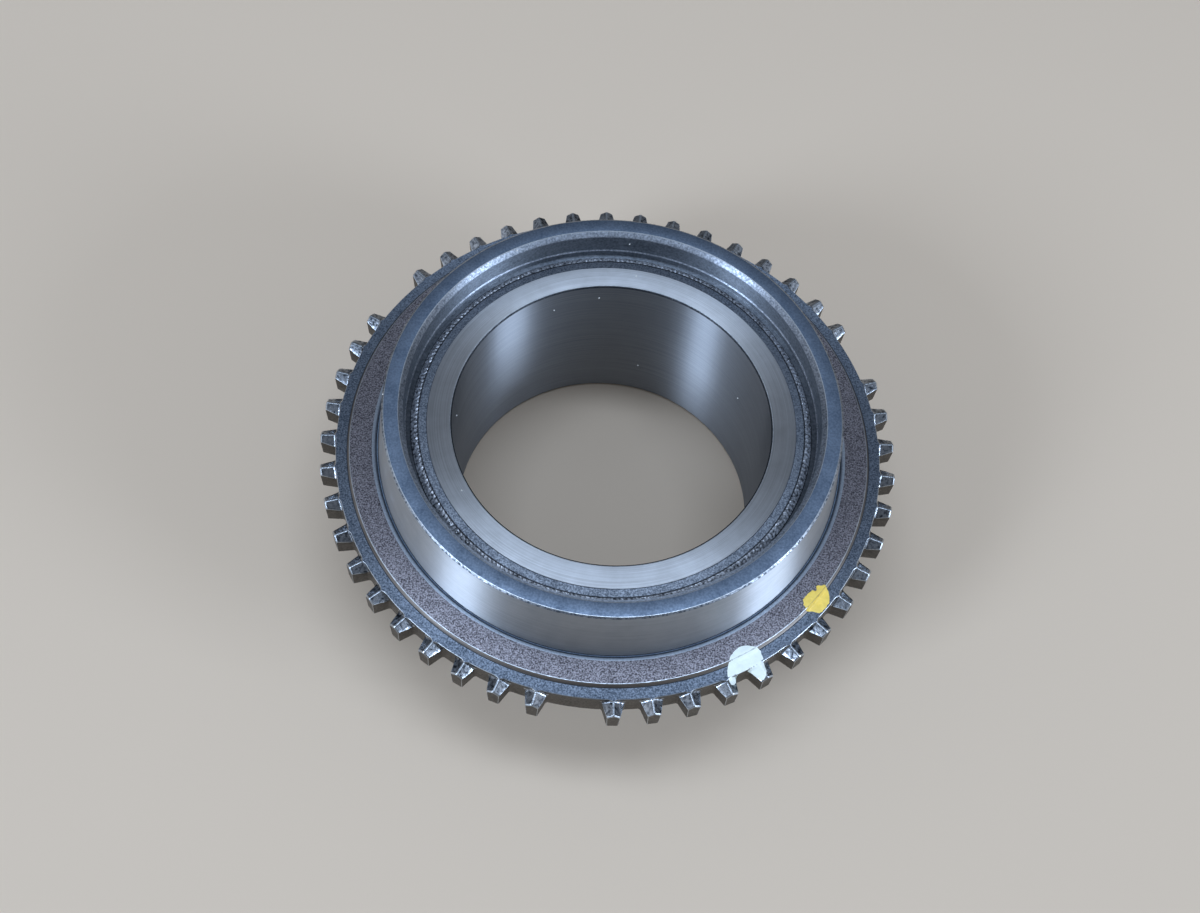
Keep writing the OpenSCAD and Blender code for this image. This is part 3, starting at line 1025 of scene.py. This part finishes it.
class SPEEDGEAR_OT_paint_dabs(bpy.types.Operator):
    """Builds the two dabs of inspection paint on the clutch ring"""

    bl_idname = "speedgear.paint_dabs"
    bl_label = "Paint dabs"

    def execute(self, context):
        s = context.scene.speedgear_paint
        ring = bpy.data.objects["clutch_ring_dressed"].data
        tree = BVHTree.FromPolygons([v.co for v in ring.vertices], [p.vertices for p in ring.polygons])
        # Outlines: angle in degrees, radius in mm
        yellow = [
            (328.4, 50.4), (329.5, 51.4), (329.4, 52.6), (328.0, 53.7), (326.8, 54.2), (324.3, 54.0),
            (323.5, 52.8), (322.6, 51.8), (323.5, 50.4), (324.8, 50.0), (326.9, 50.3), (327.6, 50.8),
        ]
        mint = [
            (301.0, 53.1), (302.5, 51.3), (303.9, 50.5), (305.5, 50.2), (307.2, 50.6), (308.9, 52.1),
            (309.0, 53.2), (308.0, 56.1), (307.0, 57.2), (306.2, 57.1), (305.5, 55.4), (304.2, 54.6),
            (302.5, 54.5), (301.2, 55.8), (300.5, 55.2),
        ]
        yellow_paint = paint("yellow_paint", s.yellow, 0.8)
        mint_paint = paint("mint_paint", s.mint, 0.9)
        yellow_edge = ragged(yellow, per_side=7, rough=0.3, seed=3.1)
        mint_edge = ragged(mint, per_side=6, rough=0.2, seed=7.7)
        paint_dab("paint_dab_yellow", tree, yellow_edge, s.thickness, yellow_paint)
        paint_dab("paint_dab_mint", tree, mint_edge, s.thickness, mint_paint)
        return {"FINISHED"}


class SPEEDGEAR_OT_lint(bpy.types.Operator):
    """Sets a few specks of lint on the rim's bevels, the pocket, the front face and the bore"""

    bl_idname = "speedgear.lint"
    bl_label = "Lint"

    def execute(self, context):
        s = context.scene.speedgear_lint
        shell = Shell()
        # Angle in degrees, radius and height in mm
        for at, r, z in [
            (125.7, 40.8, 43.74),
            (186, 44.2, 43.92),
            (91.9, 40.35, 41.3),
            (217.1, 33.1, 38.4),
            (88.5, 34.6, 38.4),
            (101.4, 31.25, 34.5),
            (119, 31.25, 32.7),
            (178.5, 31.25, 30),
            (83.1, 31.25, 10.1),
            (35.3, 31.25, 22.7),
        ]:
            add_bead(shell, polar(r * MM, math.radians(at), z * MM), s.size, 0)
        mesh = shell.build("lint_specks")
        mesh.materials.append(paint("pale_lint", s.tone, 0.8))
        finish_piece("lint_specks", mesh, sharp_degrees=60)
        return {"FINISHED"}


class SPEEDGEAR_OT_stage(bpy.types.Operator):
    """Sets the plain paper floor, the lamps and the camera"""

    bl_idname = "speedgear.stage"
    bl_label = "Stage"

    def execute(self, context):
        s = context.scene.speedgear_stage
        scene = context.scene
        scene.view_settings.view_transform = "Standard"
        shell = Shell()
        side = 3.0
        corners = [(-side, -side, 0), (side, -side, 0), (side, side, 0), (-side, side, 0)]
        shell.face(corners, 0)
        floor = bpy.data.objects.new("paper_floor", shell.build("paper_floor"))
        scene.collection.objects.link(floor)
        # Paper: plain and matt
        paper, _, shader = new_material("plain_paper")
        shader.inputs["Base Color"].default_value = (*s.paper, 1)
        shader.inputs["Roughness"].default_value = 0.9
        shader.inputs["Specular IOR Level"].default_value = 0.2
        floor.data.materials.append(paper)

        world = bpy.data.worlds.new("soft_room")
        world.use_nodes = True
        sky = world.node_tree.nodes["Background"]
        sky.inputs["Color"].default_value = linear(ROOM_LIGHT)
        sky.inputs["Strength"].default_value = ROOM_STRENGTH
        scene.world = world

        def lamp(name, place, size, watts):
            light = bpy.data.lights.new(name, "AREA")
            light.shape = "RECTANGLE"
            light.size, light.size_y = size
            light.energy = watts
            light.color = linear(ROOM_LIGHT if "wall" in name else LAMP_LIGHT)[:3]
            holder = bpy.data.objects.new(name, light)
            facing = (LAMP_AIM - place).to_track_quat("-Z", "Y").to_matrix().to_4x4()
            holder.matrix_world = Matrix.Translation(place) @ facing
            scene.collection.objects.link(holder)

        # Azimuth and elevation in degrees, width and height in metres, power
        for name, azimuth, elevation, size, watts in (
            ("top_lamp", 90, 86, (1.0, 0.3), s.top_power),
            ("left_lamp", 221, 29.5, (0.3, 0.35), s.left_power),
            ("right_lamp", 340, 21, (0.4, 0.35), s.right_power),
            ("left_wall", 187, 20, (1.1, 0.8), s.wall_power),
            ("right_wall", 353, 20, (1.1, 0.8), s.wall_power),
        ):
            rise = math.radians(elevation)
            reach = LAMP_DISTANCE * math.cos(rise)
            lamp(name, polar(reach, math.radians(azimuth), LAMP_DISTANCE * math.sin(rise)), size, watts)

        pan, tilt, roll = (math.radians(a) for a in CAMERA_ANGLES)
        ahead = Vector((math.sin(pan) * math.cos(tilt), math.cos(pan) * math.cos(tilt), math.sin(tilt)))
        right = ahead.cross(Vector((0, 0, 1))).normalized()
        up = right.cross(ahead)
        right, up = (
            right * math.cos(roll) + up * math.sin(roll),
            up * math.cos(roll) - right * math.sin(roll),
        )
        camera = bpy.data.cameras.new("camera")
        camera.sensor_width = 36.0
        camera.lens = s.lens
        camera.clip_start = 0.01
        holder = bpy.data.objects.new("camera", camera)
        turned = Matrix((right, up, -ahead)).transposed().to_4x4()
        holder.matrix_world = Matrix.Translation([c * MM for c in CAMERA_PLACE]) @ turned
        scene.collection.objects.link(holder)
        scene.camera = holder
        return {"FINISHED"}


OPERATORS = [
    SPEEDGEAR_OT_hub,
    SPEEDGEAR_OT_clutch_ring,
    SPEEDGEAR_OT_weld,
    SPEEDGEAR_OT_paint_dabs,
    SPEEDGEAR_OT_lint,
    SPEEDGEAR_OT_stage,
]
SETTINGS = {
    "speedgear_hub": HubSettings,
    "speedgear_ring": RingSettings,
    "speedgear_weld": WeldSettings,
    "speedgear_paint": PaintSettings,
    "speedgear_lint": LintSettings,
    "speedgear_stage": StageSettings,
}


class SPEEDGEAR_PT_panel(bpy.types.Panel):
    bl_idname = "SPEEDGEAR_PT_panel"
    bl_label = "Speed gear"
    bl_space_type = "VIEW_3D"
    bl_region_type = "UI"
    bl_category = "Speed gear"

    def draw(self, context):
        for operator, group in zip(OPERATORS, SETTINGS):
            box = self.layout.box()
            box.operator(operator.bl_idname)
            settings = getattr(context.scene, group)
            for name in settings.__annotations__:
                box.prop(settings, name)


CLASSES = [*SETTINGS.values(), *OPERATORS, SPEEDGEAR_PT_panel]


def register():
    for cls in CLASSES:
        bpy.utils.register_class(cls)
    for name, group in SETTINGS.items():
        setattr(bpy.types.Scene, name, bpy.props.PointerProperty(type=group))


def unregister():
    for name in SETTINGS:
        delattr(bpy.types.Scene, name)
    for cls in reversed(CLASSES):
        bpy.utils.unregister_class(cls)


def main():
    register()
    bpy.ops.speedgear.hub()
    bpy.ops.speedgear.clutch_ring()
    bpy.ops.speedgear.weld()
    bpy.ops.speedgear.paint_dabs()
    bpy.ops.speedgear.lint()
    bpy.ops.speedgear.stage()
    bpy.context.view_layer.update()


if __name__ == "__main__":
    main()
